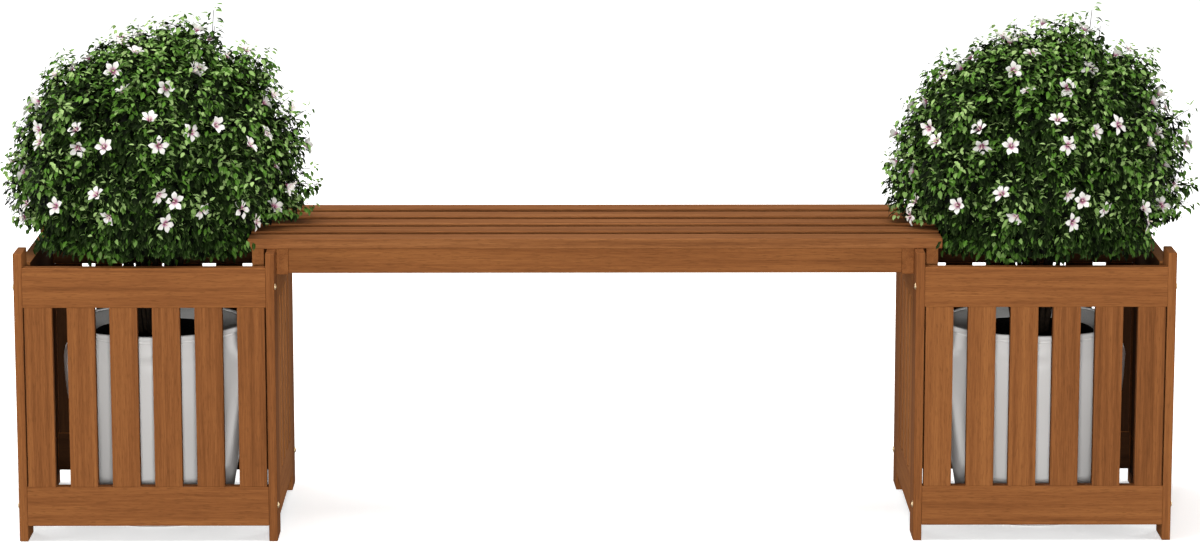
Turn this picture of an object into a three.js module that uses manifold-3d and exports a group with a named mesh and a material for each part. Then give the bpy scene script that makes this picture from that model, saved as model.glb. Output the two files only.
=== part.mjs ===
// Outdoor bench with a slatted planter box at each end, each box holding a potted flowering shrub.
// Frame: X runs along the bench, the front faces -Y, Z points up and the feet stand on z = 0.
// All sizes are in millimetres.
import * as THREE from "three";
import { mergeVertices } from "three/addons/utils/BufferGeometryUtils.js";
import Module from "manifold-3d";

const wasm = await Module();
wasm.setup();

// Driving dimensions
const OVERALL_LENGTH = 1727;
const BOX_WIDTH = 387;
const BOX_DEPTH = 387;
const POST_HEIGHT = 438.5;
const POST_WIDTH = 60;
const POST_THICKNESS = 13;
const BOARD_THICKNESS = 18;
const EDGE_CHAMFER = 1.2;

// Slatted panels of the planter boxes
const RAIL_HEIGHT = 60;
const FACE_RAIL_LIFT = 24;
const FACE_RAIL_DROP = 21.5;
const SIDE_RAIL_LIFT = 28;
const SIDE_RAIL_DROP = 23.5;
const SLAT_WIDTH = 41;
const SLAT_TO_POST_GAP = 2;
const SIDE_SLAT_GAP = 22;
const FACE_SLAT_COUNT = 6;
const SIDE_SLAT_COUNT = 5;
const TENON_LENGTH = 16;
const TENON_THICKNESS = 8;
const TENON_SHOULDER = 4;

// Seat
const SEAT_DEPTH = 310;
const SEAT_REACH = 41.5;
const SEAT_SLAT_WIDTH = 41.2;
const SEAT_SLAT_THICKNESS = 15.4;
const SEAT_SLAT_COUNT = 5;
const FRAME_SETBACK = 8;
const APRON_HEIGHT = 38;
const CROSS_RAIL_HEIGHT = 40;

// Dome-headed screws
const SCREW_HEAD_RADIUS = 5;
const SCREW_HEAD_HEIGHT = 2.4;
const SCREW_SHANK_RADIUS = 2.75;
const SCREW_CLEARANCE = 0.3;
const BOX_SCREW_BITE = 26;
const SEAT_SCREW_BITE = 12;
const SEAT_SCREW_OFFSET = 80;
const SCREW_SIDES = 8;
const SCREW_DOME_STEPS = 3;

// Pot, the liner hung in its rim, and the soil in the liner
const POT_CLEARANCE = 8;
const POT_HEIGHT = 301;
const POT_WALL = 6;
const POT_FLOOR = 8;
const LIP_HEIGHT = 7;
const LIP_OVERHANG = 2.5;
const LEDGE_DEPTH = 5;
const LEDGE_WIDTH = 5;
const LINER_WALL = 2.5;
const LINER_DEPTH = 190;
const LINER_TAPER = 20;
const LINER_CLEARANCE = 0.3;
const FLANGE_WIDTH = 27.8;
const FLANGE_FALL = 9.5;
const SOIL_FREEBOARD = 0.8;
const SOIL_CLEARANCE = 0.3;
const POT_SIDES = 32;
const POT_OUTLINE_STEPS = 9;

// Shrub
const STEM_RADIUS = 40;
const STEM_HEIGHT = 34;
const CROWN_RADIUS = 227;
const CROWN_LIFT = 64;
const NECK_CLEARANCE = 4;
const CROWN_CLEARANCE = 3;
const CROWN_SIDES = 36;
const CROWN_DOME_RINGS = 17;
const CROWN_PLUG_RINGS = 6;

// Shares of the pot's greatest radius and of its height, up the outside from foot to collar
const POT_OUTLINE_SHARES = [
  [0.7, 0],
  [0.762, 0.13],
  [0.872, 0.36],
  [0.955, 0.58],
  [0.988, 0.76],
  [1, 0.845],
];
const POT_COLLAR_SHARES = [0.952, 0.895];
// Boughs whose rounded ends make the crown's outline: share of a turn from +X, share of the rise from
// level to upright, and reach from the crown's centre as a share of its radius
const BOUGH_SHARES = [
  [0, 0.02, 1.05],
  [0, 0.3, 1.12],
  [0, 0.58, 1.17],
  [0.03, 0.86, 1.2],
  [0.5, 0.02, 1.05],
  [0.5, 0.28, 1.05],
  [0.5, 0.56, 1.09],
  [0.48, 0.86, 1.09],
  [0.25, 0.05, 1],
  [0.25, 0.36, 1.04],
  [0.27, 0.68, 1.1],
  [0.75, 0.05, 1],
  [0.75, 0.36, 1.04],
  [0.73, 0.68, 1.1],
  [0.125, 0.16, 1.03],
  [0.13, 0.5, 1.09],
  [0.375, 0.16, 1.01],
  [0.37, 0.5, 1.06],
  [0.625, 0.16, 1.02],
  [0.62, 0.5, 1.07],
  [0.875, 0.16, 1.04],
  [0.88, 0.5, 1.1],
];
const BOUGH_RADIUS_SHARE = 0.36;
const CROWN_CORE_SHARE = 0.88;
const CROWN_TOP_RISE_SHARE = 0.97;
// Shares of the neck's radius and of the height from stem to brim
const CROWN_PLUG_SHARES = [
  [0.3, 0],
  [0.72, 0.14],
  [0.95, 0.5],
  [1, 0.8],
];

// Places worked out from the sizes above
const HALF_LENGTH = OVERALL_LENGTH / 2;
const BOX_INNER_FACE = HALF_LENGTH - BOX_WIDTH;
const BOX_CENTRE = HALF_LENGTH - BOX_WIDTH / 2;
const SEAT_HALF_LENGTH = BOX_INNER_FACE + SEAT_REACH;
const SEAT_TOP = POST_HEIGHT + SEAT_SLAT_THICKNESS;
const SIDES = { left: -1, right: 1 };

const wood = { color: 0x8d5a33, roughness: 0.6, metalness: 0 };
const seatWood = { color: 0x9a6a42, roughness: 0.55, metalness: 0 };
const brass = { color: 0xb9924a, roughness: 0.35, metalness: 1 };
const potFinish = { color: 0xcdcbc8, roughness: 0.45, metalness: 0 };
const linerFinish = { color: 0x8a8a88, roughness: 0.6, metalness: 0 };
const soilFinish = { color: 0x1d1713, roughness: 1, metalness: 0 };
const leafFinish = { color: 0x4e7a35, roughness: 0.7, metalness: 0 };

function part(name, geometry, finish, place = [0, 0, 0], turn = 0) {
  const mesh = new THREE.Mesh(geometry, new THREE.MeshStandardMaterial({ ...finish, flatShading: true }));
  mesh.name = name;
  mesh.position.set(...place);
  mesh.rotation.z = turn;
  return mesh;
}

function solidOf(geometry) {
  const bare = geometry.clone();
  bare.deleteAttribute("normal");
  bare.deleteAttribute("uv");
  const merged = mergeVertices(bare);
  return new wasm.Manifold(
    new wasm.Mesh({
      numProp: 3,
      vertProperties: new Float32Array(merged.attributes.position.array),
      triVerts: new Uint32Array(merged.index.array),
    }),
  );
}

function geometryOf(solid) {
  const mesh = solid.getMesh();
  const geometry = new THREE.BufferGeometry();
  geometry.setAttribute("position", new THREE.BufferAttribute(mesh.vertProperties, 3));
  geometry.setIndex(new THREE.BufferAttribute(mesh.triVerts, 1));
  geometry.computeVertexNormals();
  return geometry;
}

function joined(geometries) {
  return geometryOf(geometries.map(solidOf).reduce((whole, piece) => whole.add(piece)));
}

function bored(geometry, bores) {
  return geometryOf(bores.map(solidOf).reduce((whole, bore) => whole.subtract(bore), solidOf(geometry)));
}

// A board whose four long edges are eased; grain is the axis that it runs along.
function board(sizeX, sizeY, sizeZ, grain, chamfer = EDGE_CHAMFER) {
  const [wide, deep, long] = { x: [sizeY, sizeZ, sizeX], y: [sizeZ, sizeX, sizeY], z: [sizeX, sizeY, sizeZ] }[grain];
  const w = wide / 2;
  const d = deep / 2;
  const section = new THREE.Shape([
    new THREE.Vector2(w, -d + chamfer),
    new THREE.Vector2(w, d - chamfer),
    new THREE.Vector2(w - chamfer, d),
    new THREE.Vector2(-w + chamfer, d),
    new THREE.Vector2(-w, d - chamfer),
    new THREE.Vector2(-w, -d + chamfer),
    new THREE.Vector2(-w + chamfer, -d),
    new THREE.Vector2(w - chamfer, -d),
  ]);
  const geometry = new THREE.ExtrudeGeometry(section, { depth: long, bevelEnabled: false });
  geometry.translate(0, 0, -long / 2);
  const X = new THREE.Vector3(1, 0, 0);
  const Y = new THREE.Vector3(0, 1, 0);
  const Z = new THREE.Vector3(0, 0, 1);
  const axes = { x: [Y, Z, X], y: [Z, X, Y], z: [X, Y, Z] }[grain];
  return geometry.applyMatrix4(new THREE.Matrix4().makeBasis(...axes));
}

// A turned solid about Z, from points of radius and height that climb the outside first.
function turned(points, sides) {
  const profile = points.map(([radius, height]) => new THREE.Vector2(radius, height));
  return new THREE.LatheGeometry(profile, sides).rotateX(Math.PI / 2);
}

// A round bore along X, from x = start to x = end.
function boreAlongX(radius, start, end) {
  const length = end - start;
  const geometry = new THREE.CylinderGeometry(radius, radius, length, SCREW_SIDES);
  return geometry.rotateZ(-Math.PI / 2).translate((start + end) / 2, 0, 0);
}

// A screw with its head towards +X, seated at x = 0, and its shank running to -X.
function screw(shankLength) {
  const dome = Array.from({ length: SCREW_DOME_STEPS }, (_, i) => {
    const angle = (i / SCREW_DOME_STEPS) * (Math.PI / 2);
    return [SCREW_HEAD_RADIUS * Math.cos(angle), SCREW_HEAD_HEIGHT * Math.sin(angle)];
  });
  const shank = [[0, -shankLength], [SCREW_SHANK_RADIUS, -shankLength], [SCREW_SHANK_RADIUS, 0]];
  const points = [...shank, ...dome, [0, SCREW_HEAD_HEIGHT]];
  return turned(points, SCREW_SIDES).rotateY(Math.PI / 2);
}

// Evenly spaced centres of count pieces of one width, between two limits.
function spread(count, width, low, high) {
  const gap = (high - low - count * width) / (count - 1);
  return Array.from({ length: count }, (_, i) => low + width / 2 + i * (width + gap));
}

// A glued panel in the XZ plane: two rails joined by upright slats on stub tenons.
function slattedPanel({ width, lift, drop, slatWidth, centres }) {
  const bottomRail = lift + RAIL_HEIGHT / 2;
  const topRail = POST_HEIGHT - drop - RAIL_HEIGHT / 2;
  const rails = [bottomRail, topRail].map((z) =>
    board(width, BOARD_THICKNESS, RAIL_HEIGHT, "x").translate(0, 0, z),
  );
  const slatLength = topRail - bottomRail - RAIL_HEIGHT;
  const middle = (topRail + bottomRail) / 2;
  const slats = centres.flatMap((x) => [
    board(slatWidth, BOARD_THICKNESS, slatLength, "z").translate(x, 0, middle),
    new THREE.BoxGeometry(
      slatWidth - 2 * TENON_SHOULDER,
      TENON_THICKNESS,
      slatLength + 2 * TENON_LENGTH,
    ).translate(x, 0, middle),
  ]);
  return joined([...rails, ...slats]);
}

// Heights of the screws through each post: the middles of the face panels' rails.
const SCREW_HEIGHTS = {
  low: FACE_RAIL_LIFT + RAIL_HEIGHT / 2,
  high: POST_HEIGHT - FACE_RAIL_DROP - RAIL_HEIGHT / 2,
};
const FACE_PANEL_Y = BOX_DEPTH / 2 - BOARD_THICKNESS / 2;

// Front or back panel, held between the posts by screws in its rail ends.
function facePanel() {
  const width = BOX_WIDTH - 2 * POST_THICKNESS;
  const reach = width / 2 - SLAT_TO_POST_GAP;
  const panel = slattedPanel({
    width,
    lift: FACE_RAIL_LIFT,
    drop: FACE_RAIL_DROP,
    slatWidth: SLAT_WIDTH,
    centres: spread(FACE_SLAT_COUNT, SLAT_WIDTH, -reach, reach),
  });
  const radius = SCREW_SHANK_RADIUS + SCREW_CLEARANCE;
  const deep = BOX_SCREW_BITE + SCREW_CLEARANCE;
  const bores = Object.values(SCREW_HEIGHTS).flatMap((z) => [
    boreAlongX(radius, width / 2 - deep, width / 2 + POST_THICKNESS).translate(0, 0, z),
    boreAlongX(radius, -width / 2 - POST_THICKNESS, deep - width / 2).translate(0, 0, z),
  ]);
  return bored(panel, bores);
}

// Side panel, glued between the edges of two posts; the inner one takes the seat's screws.
function sidePanel(seatSide) {
  const width = BOX_DEPTH - 2 * POST_WIDTH;
  const slatWidth = (width - (SIDE_SLAT_COUNT - 1) * SIDE_SLAT_GAP) / SIDE_SLAT_COUNT;
  const panel = slattedPanel({
    width,
    lift: SIDE_RAIL_LIFT,
    drop: SIDE_RAIL_DROP,
    slatWidth,
    centres: spread(SIDE_SLAT_COUNT, slatWidth, -width / 2, width / 2),
  }).rotateZ(Math.PI / 2);
  return seatSide ? bored(panel, seatBores(-BOARD_THICKNESS, BOARD_THICKNESS)) : panel;
}

function post(frontOrBack) {
  const upright = board(POST_THICKNESS, POST_WIDTH, POST_HEIGHT, "z").translate(0, 0, POST_HEIGHT / 2);
  const y = frontOrBack * (FACE_PANEL_Y - (BOX_DEPTH - POST_WIDTH) / 2);
  const radius = SCREW_SHANK_RADIUS + SCREW_CLEARANCE;
  const bores = Object.values(SCREW_HEIGHTS).map((z) =>
    boreAlongX(radius, -POST_THICKNESS, POST_THICKNESS).translate(0, y, z),
  );
  return bored(upright, bores);
}

// Seat screws pass through the cross-rails where they overlap the side panel's top rail.
const SEAT_SCREW_Z = (POST_HEIGHT - CROSS_RAIL_HEIGHT + POST_HEIGHT - SIDE_RAIL_DROP) / 2;

function seatBores(start, end) {
  return [-SEAT_SCREW_OFFSET, SEAT_SCREW_OFFSET].map((y) =>
    boreAlongX(SCREW_SHANK_RADIUS + SCREW_CLEARANCE, start, end).translate(0, y, SEAT_SCREW_Z),
  );
}

function planterBox(side, label) {
  const group = new THREE.Group();
  group.position.x = side * BOX_CENTRE;
  const postX = (BOX_WIDTH - POST_THICKNESS) / 2;
  const postY = (BOX_DEPTH - POST_WIDTH) / 2;
  const sidePanelX = (BOX_WIDTH - BOARD_THICKNESS) / 2;
  for (const [end, endLabel] of [[-1, "front"], [1, "back"]]) {
    group.add(part(`${label}_${endLabel}_panel`, facePanel(), wood, [0, end * FACE_PANEL_Y, 0]));
    for (const [way, wayLabel] of [[side, "outer"], [-side, "inner"]]) {
      group.add(part(`${label}_post_${endLabel}_${wayLabel}`, post(end), wood, [way * postX, end * postY, 0]));
      for (const [level, z] of Object.entries(SCREW_HEIGHTS)) {
        const name = `${label}_screw_${endLabel}_${wayLabel}_${level}`;
        const place = [(way * BOX_WIDTH) / 2, end * FACE_PANEL_Y, z];
        group.add(part(name, screw(POST_THICKNESS + BOX_SCREW_BITE), brass, place, way > 0 ? 0 : Math.PI));
      }
    }
  }
  group.add(part(`${label}_outer_side_panel`, sidePanel(false), wood, [side * sidePanelX, 0, 0]));
  group.add(part(`${label}_inner_side_panel`, sidePanel(true), wood, [-side * sidePanelX, 0, 0]));
  return group;
}

function seat() {
  const group = new THREE.Group();
  const frameHalfDepth = SEAT_DEPTH / 2 - FRAME_SETBACK;
  const crossRailZ = POST_HEIGHT - CROSS_RAIL_HEIGHT / 2;
  const apronZ = POST_HEIGHT - APRON_HEIGHT / 2;
  const centres = spread(SEAT_SLAT_COUNT, SEAT_SLAT_WIDTH, -SEAT_DEPTH / 2, SEAT_DEPTH / 2);
  centres.forEach((y, i) => {
    const slat = board(2 * SEAT_HALF_LENGTH, SEAT_SLAT_WIDTH, SEAT_SLAT_THICKNESS, "x");
    group.add(part(`seat_slat_${i + 1}`, slat, seatWood, [0, y, SEAT_TOP - SEAT_SLAT_THICKNESS / 2]));
  });
  const apronLength = 2 * (BOX_INNER_FACE - BOARD_THICKNESS);
  for (const [end, label] of [[-1, "front"], [1, "back"]]) {
    const apron = board(apronLength, BOARD_THICKNESS, APRON_HEIGHT, "x");
    group.add(part(`seat_apron_${label}`, apron, wood, [0, end * (frameHalfDepth - BOARD_THICKNESS / 2), apronZ]));
  }
  const bearerLength = 2 * (frameHalfDepth - BOARD_THICKNESS);
  group.add(part("seat_centre_bearer", board(BOARD_THICKNESS, bearerLength, APRON_HEIGHT, "y"), wood, [0, 0, apronZ]));
  for (const [label, side] of Object.entries(SIDES)) {
    const inboardX = BOX_INNER_FACE - BOARD_THICKNESS / 2;
    const outboardX = inboardX + 2 * BOARD_THICKNESS;
    const rail = () => board(BOARD_THICKNESS, 2 * frameHalfDepth, CROSS_RAIL_HEIGHT, "y").translate(0, 0, crossRailZ);
    const inboard = bored(rail(), seatBores(-BOARD_THICKNESS, BOARD_THICKNESS));
    const biteEnd = SEAT_SCREW_BITE + SCREW_CLEARANCE - BOARD_THICKNESS / 2;
    const outboard = bored(rail(), seatBores(-BOARD_THICKNESS, biteEnd));
    const turn = side > 0 ? 0 : Math.PI;
    group.add(part(`seat_cross_rail_${label}_inboard`, inboard, wood, [side * inboardX, 0, 0], turn));
    group.add(part(`seat_cross_rail_${label}_outboard`, outboard, wood, [side * outboardX, 0, 0], turn));
    for (const [end, endLabel] of [[-1, "front"], [1, "back"]]) {
      const shank = 2 * BOARD_THICKNESS + SEAT_SCREW_BITE;
      const place = [side * (inboardX - BOARD_THICKNESS / 2), end * SEAT_SCREW_OFFSET, SEAT_SCREW_Z];
      group.add(part(`seat_screw_${label}_${endLabel}`, screw(shank), brass, place, side > 0 ? Math.PI : 0));
    }
  }
  return group;
}

// Radii and heights that the pot, liner and soil take from each other
const POT_RADIUS = BOX_CENTRE - SEAT_HALF_LENGTH - POT_CLEARANCE;
const RIM_RADIUS = POT_RADIUS * POT_COLLAR_SHARES[0];
const LEDGE_Z = POT_HEIGHT - LEDGE_DEPTH;
const MOUTH_RADIUS = RIM_RADIUS - POT_WALL;
const LINER_MOUTH_RADIUS = MOUTH_RADIUS - LEDGE_WIDTH - FLANGE_WIDTH;
const LINER_FOOT_RADIUS = LINER_MOUTH_RADIUS - LINER_TAPER;
const FLANGE_LOW_Z = LEDGE_Z - FLANGE_FALL;
const LINER_FLOOR_Z = FLANGE_LOW_Z - LINER_DEPTH;
const SOIL_TOP = FLANGE_LOW_Z - SOIL_FREEBOARD;

function smoothPoints(shares, radius, low, height, count) {
  const curve = new THREE.SplineCurve(shares.map(([r, h]) => new THREE.Vector2(r * radius, low + h * height)));
  return curve.getPoints(count).map((p) => [p.x, p.y]);
}

function pot() {
  const outline = smoothPoints(POT_OUTLINE_SHARES, POT_RADIUS, 0, POT_HEIGHT, POT_OUTLINE_STEPS);
  const collarZ = POT_COLLAR_SHARES[1] * POT_HEIGHT;
  const lipLow = POT_HEIGHT - LIP_HEIGHT;
  const lipMiddle = POT_HEIGHT - LIP_HEIGHT / 2;
  const ease = LIP_HEIGHT / 4;
  const inside = outline.slice(1).reverse().map(([r, z]) => [r - POT_WALL, Math.max(z, POT_FLOOR)]);
  return turned(
    [
      [0, 0],
      ...outline,
      [RIM_RADIUS, collarZ],
      [RIM_RADIUS - LIP_OVERHANG / 2, lipLow],
      [RIM_RADIUS + LIP_OVERHANG, lipLow + ease],
      [RIM_RADIUS + LIP_OVERHANG, lipMiddle + ease / 2],
      [RIM_RADIUS, POT_HEIGHT],
      [MOUTH_RADIUS, POT_HEIGHT],
      [MOUTH_RADIUS, LEDGE_Z],
      [MOUTH_RADIUS - LEDGE_WIDTH, LEDGE_Z],
      [MOUTH_RADIUS - LEDGE_WIDTH, collarZ],
      ...inside,
      [outline[0][0] - POT_WALL, POT_FLOOR],
      [0, POT_FLOOR],
    ],
    POT_SIDES,
  );
}

// The liner's flange rests flat on the ledge in the pot's rim, then slopes down to its mouth.
function liner() {
  const edge = MOUTH_RADIUS - LINER_CLEARANCE;
  const seatEdge = MOUTH_RADIUS - LEDGE_WIDTH;
  return turned(
    [
      [0, LINER_FLOOR_Z],
      [LINER_FOOT_RADIUS, LINER_FLOOR_Z],
      [LINER_MOUTH_RADIUS, FLANGE_LOW_Z - LINER_WALL],
      [seatEdge - LINER_CLEARANCE, LEDGE_Z - LINER_WALL],
      [seatEdge - LINER_CLEARANCE, LEDGE_Z],
      [edge, LEDGE_Z],
      [edge, LEDGE_Z + LINER_WALL],
      [seatEdge, LEDGE_Z + LINER_WALL],
      [LINER_MOUTH_RADIUS - LINER_WALL, FLANGE_LOW_Z],
      [LINER_FOOT_RADIUS - LINER_WALL, LINER_FLOOR_Z + LINER_WALL],
      [0, LINER_FLOOR_Z + LINER_WALL],
    ],
    POT_SIDES,
  );
}

function soil() {
  const taper = (LINER_MOUTH_RADIUS - LINER_FOOT_RADIUS) / (LINER_DEPTH - LINER_WALL);
  const top = LINER_MOUTH_RADIUS - LINER_WALL - SOIL_CLEARANCE - taper * (FLANGE_LOW_Z - SOIL_TOP);
  return turned(
    [
      [0, LINER_FLOOR_Z + LINER_WALL],
      [LINER_FOOT_RADIUS - LINER_WALL - SOIL_CLEARANCE, LINER_FLOOR_Z + LINER_WALL],
      [top, SOIL_TOP],
      [0, SOIL_TOP],
    ],
    POT_SIDES,
  );
}

// Rings of points, each closed on itself, skinned from the lowest to the highest with flat ends.
function skinned(rings) {
  const sides = rings[0].length;
  const points = rings.flat();
  const centre = (ring) => ring.reduce((sum, p) => sum.add(p), new THREE.Vector3()).divideScalar(sides);
  points.push(centre(rings[0]), centre(rings[rings.length - 1]));
  const foot = points.length - 2;
  const crown = points.length - 1;
  const last = (rings.length - 1) * sides;
  const index = [];
  for (let i = 0; i < sides; i += 1) {
    const next = (i + 1) % sides;
    index.push(foot, next, i, crown, last + i, last + next);
    for (let row = 0; row < last; row += sides) {
      index.push(row + i, row + next, row + sides + next);
      index.push(row + i, row + sides + next, row + sides + i);
    }
  }
  const geometry = new THREE.BufferGeometry().setFromPoints(points);
  geometry.setIndex(index);
  geometry.computeVertexNormals();
  return geometry;
}

function aimed(angle, elevation) {
  const level = Math.cos(elevation);
  return new THREE.Vector3(level * Math.cos(angle), level * Math.sin(angle), Math.sin(elevation));
}

// How far the crown reaches from its centre along a direction: out to the farthest bough, or to its core.
function crownReach(direction) {
  const radius = BOUGH_RADIUS_SHARE * CROWN_RADIUS;
  const reaches = BOUGH_SHARES.map(([turn, rise, reach]) => {
    const centre = aimed(turn * 2 * Math.PI, (rise * Math.PI) / 2).multiplyScalar(reach * CROWN_RADIUS - radius);
    const along = centre.dot(direction);
    const inside = radius ** 2 - centre.lengthSq() + along ** 2;
    return inside > 0 ? along + Math.sqrt(inside) : 0;
  });
  return Math.max(CROWN_CORE_SHARE * CROWN_RADIUS, ...reaches);
}

// A shrub: a bunch of stems, a plug of foliage in the box's mouth, and a crown of rounded boughs above it.
// seatWay is +1 where the seat lies towards +X; the crown's brim is lifted clear of its slats.
function shrub(seatWay) {
  const neckRadius = BOX_CENTRE - SEAT_HALF_LENGTH - NECK_CLEARANCE;
  const brimLow = POST_HEIGHT + CROWN_CLEARANCE;
  const brimLift = SEAT_SLAT_THICKNESS;
  const stemTop = SOIL_TOP + STEM_HEIGHT;
  const centreZ = brimLow + CROWN_LIFT;
  const angles = Array.from({ length: CROWN_SIDES }, (_, i) => (i / CROWN_SIDES) * 2 * Math.PI);
  const ring = (radiusAt, heightAt) =>
    angles.map((angle) => {
      const radius = radiusAt(angle);
      return new THREE.Vector3(radius * Math.cos(angle), radius * Math.sin(angle), heightAt(angle));
    });
  const brimAt = (angle) => brimLow + brimLift * THREE.MathUtils.smoothstep(seatWay * Math.cos(angle), 0.2, 0.5);
  const rings = [
    ring(() => STEM_RADIUS, () => SOIL_TOP),
    ring(() => STEM_RADIUS, () => stemTop),
  ];
  for (const [radius, share] of smoothPoints(CROWN_PLUG_SHARES, neckRadius, 0, 1, CROWN_PLUG_RINGS)) {
    rings.push(ring(() => radius, (angle) => THREE.MathUtils.lerp(stemTop, brimAt(angle), share)));
  }
  rings.push(ring(() => neckRadius, brimAt));
  const brimRise = (angle) => -Math.asin((centreZ - brimAt(angle)) / CROWN_RADIUS);
  const topRise = (CROWN_TOP_RISE_SHARE * Math.PI) / 2;
  rings.push(
    ring((angle) => crownReach(aimed(angle, brimRise(angle))) * Math.cos(brimRise(angle)), brimAt),
  );
  for (let level = 1; level <= CROWN_DOME_RINGS; level += 1) {
    rings.push(
      angles.map((angle) => {
        const rise = THREE.MathUtils.lerp(brimRise(angle), topRise, level / CROWN_DOME_RINGS);
        const direction = aimed(angle, rise);
        const point = direction.multiplyScalar(crownReach(direction));
        return point.setZ(point.z + centreZ);
      }),
    );
  }
  return skinned(rings);
}

function pottedShrub(side, label) {
  const group = new THREE.Group();
  group.position.x = side * BOX_CENTRE;
  group.add(part(`${label}_pot`, pot(), potFinish));
  group.add(part(`${label}_liner`, liner(), linerFinish));
  group.add(part(`${label}_soil`, soil(), soilFinish));
  group.add(part(`${label}_shrub`, shrub(-side), leafFinish));
  return group;
}

const bench = new THREE.Group();
for (const [label, side] of Object.entries(SIDES)) {
  bench.add(planterBox(side, label), pottedShrub(side, label));
}
bench.add(seat());

export default bench;
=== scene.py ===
"""Looks for an outdoor bench with a slatted planter box and a flowering shrub at each end.

Frame: metres, +X along the bench, the front faces -Y, +Z up, feet on z = 0.
"""

import math

import bpy
import numpy as np
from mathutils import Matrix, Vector


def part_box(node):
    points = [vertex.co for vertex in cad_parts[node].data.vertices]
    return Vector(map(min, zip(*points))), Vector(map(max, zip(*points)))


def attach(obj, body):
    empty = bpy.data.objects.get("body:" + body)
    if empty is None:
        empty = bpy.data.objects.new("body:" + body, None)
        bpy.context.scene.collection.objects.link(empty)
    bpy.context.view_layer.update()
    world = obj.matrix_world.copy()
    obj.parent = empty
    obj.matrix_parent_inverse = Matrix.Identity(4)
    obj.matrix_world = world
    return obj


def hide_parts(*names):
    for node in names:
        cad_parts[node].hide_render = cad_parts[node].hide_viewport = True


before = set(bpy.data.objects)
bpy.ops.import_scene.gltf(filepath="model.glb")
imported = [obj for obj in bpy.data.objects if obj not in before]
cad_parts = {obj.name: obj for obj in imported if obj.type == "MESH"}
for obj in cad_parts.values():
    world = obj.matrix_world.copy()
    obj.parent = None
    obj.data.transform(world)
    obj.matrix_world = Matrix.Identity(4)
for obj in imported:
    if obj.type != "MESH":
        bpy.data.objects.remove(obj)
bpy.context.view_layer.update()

# Sizes in metres
MM = 0.001
SIDES = {"left": -1, "right": 1}
BOX_CENTRE = 670 * MM
RAIL_HEIGHT = 60 * MM
SLAT_WIDTH = 41 * MM
SLAT_TO_POST_GAP = 2 * MM
SIDE_SLAT_GAP = 22 * MM
FACE_SLATS = 6
SIDE_SLATS = 5
EASE = 1.3 * MM
PANEL_EASE = 0.8 * MM

# How much paler than the rest some boards are, in steps of the grain's tone. On the top rails, the side
# panels and the seat's frame this is painted light, making up for the shade that falls on them; the slats
# of a panel run evenly from the first value to the last.
TOP_RAIL_PAINTED_LIGHT = 0.7
SIDE_PANEL_PAINTED_LIGHT = 1.3
SEAT_FRAME_PAINTED_LIGHT = 0.7
FIRST_AND_LAST_SLAT_PALER = (0.8, -0.6)

# Camera, solved from the photograph's 1200 x 547 frame
SENSOR_WIDTH = 36.0
IMAGE_WIDTH = 1200
FOCAL_PIXELS = 4103.8
CAMERA_PLACE = (-26.5 * MM, -6179.5 * MM, 1513.5 * MM)
CAMERA_PITCH = 0.18257
CAMERA_YAW = 0.00557

FULL_TURN = 2 * math.pi
UP = np.array([0, 0, 1.0])
random = np.random.default_rng(20)


def srgb(*values):
    """Linear colour for sRGB values out of 255."""
    v = np.array(values, float) / 255
    linear = np.where(v <= 0.04045, v / 12.92, ((v + 0.055) / 1.055) ** 2.4)
    return (*linear.tolist(), 1.0)


# Meshes

def make_mesh(name, points, faces, smooth=None, attributes=None, bake_map=None):
    """A mesh object from arrays: faces is a list of index arrays with 3, 4 or more columns."""
    mesh = bpy.data.meshes.new(name)
    corners = np.concatenate([f.reshape(-1) for f in faces]).astype(np.int32)
    sizes = np.concatenate([np.full(len(f), f.shape[1]) for f in faces])
    starts = np.concatenate([[0], np.cumsum(sizes)[:-1]]).astype(np.int32)
    mesh.vertices.add(len(points))
    mesh.vertices.foreach_set("co", np.asarray(points, np.float32).reshape(-1))
    mesh.loops.add(len(corners))
    mesh.loops.foreach_set("vertex_index", corners)
    mesh.polygons.add(len(sizes))
    mesh.polygons.foreach_set("loop_start", starts)
    mesh.update(calc_edges=True)
    if smooth is not None:
        mesh.polygons.foreach_set("use_smooth", np.broadcast_to(smooth, len(sizes)))
    for key, values in (attributes or {}).items():
        values = np.asarray(values, np.float32)
        kind, field = ("FLOAT", "value") if values.ndim == 1 else ("FLOAT_VECTOR", "vector")
        mesh.attributes.new(key, kind, "POINT").data.foreach_set(field, values.reshape(-1))
    if bake_map is not None:
        places = bake_map[corners].astype(np.float32).reshape(-1)
        mesh.uv_layers.new(name="OFBake").uv.foreach_set("vector", places)
    mesh.validate()
    piece = bpy.data.objects.new(name, mesh)
    bpy.context.scene.collection.objects.link(piece)
    return piece


def grid_faces(rows, columns, wrap):
    """Quads of a rows x columns grid of points; wrap joins the last column to the first."""
    r, c = np.meshgrid(np.arange(rows - 1), np.arange(columns if wrap else columns - 1), indexing="ij")
    n = (c + 1) % columns
    quads = np.stack([r * columns + c, r * columns + n, (r + 1) * columns + n, (r + 1) * columns + c], -1)
    return quads.reshape(-1, 4)


def tube_faces(rings, sides, count=1):
    """Quads and flat end faces of many tubes at once, whose rings of points follow each other."""
    starts = rings * sides * np.arange(count)[:, None, None]
    ring = np.arange(sides)
    ends = np.stack([ring[::-1], ring + (rings - 1) * sides])
    return [(grid_faces(rings, sides, True) + starts).reshape(-1, 4), (ends + starts).reshape(-1, sides)]


def pole_faces(rings, sides):
    """Triangles that join a turned grid's first and last rings to the two poles after its points."""
    near = np.arange(sides)
    following = (near + 1) % sides
    last = (rings - 1) * sides
    pole = np.full(sides, rings * sides)
    low = np.stack([following, near, pole], -1)
    high = np.stack([near + last, following + last, pole + 1], -1)
    return np.concatenate([low, high])


def circle(angle):
    """Points of the unit circle at the angles."""
    return np.stack([np.cos(angle), np.sin(angle)], -1)


def ring_angles(sides):
    """Angles of evenly spaced points round a full turn."""
    return np.arange(sides) / sides * FULL_TURN


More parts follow.
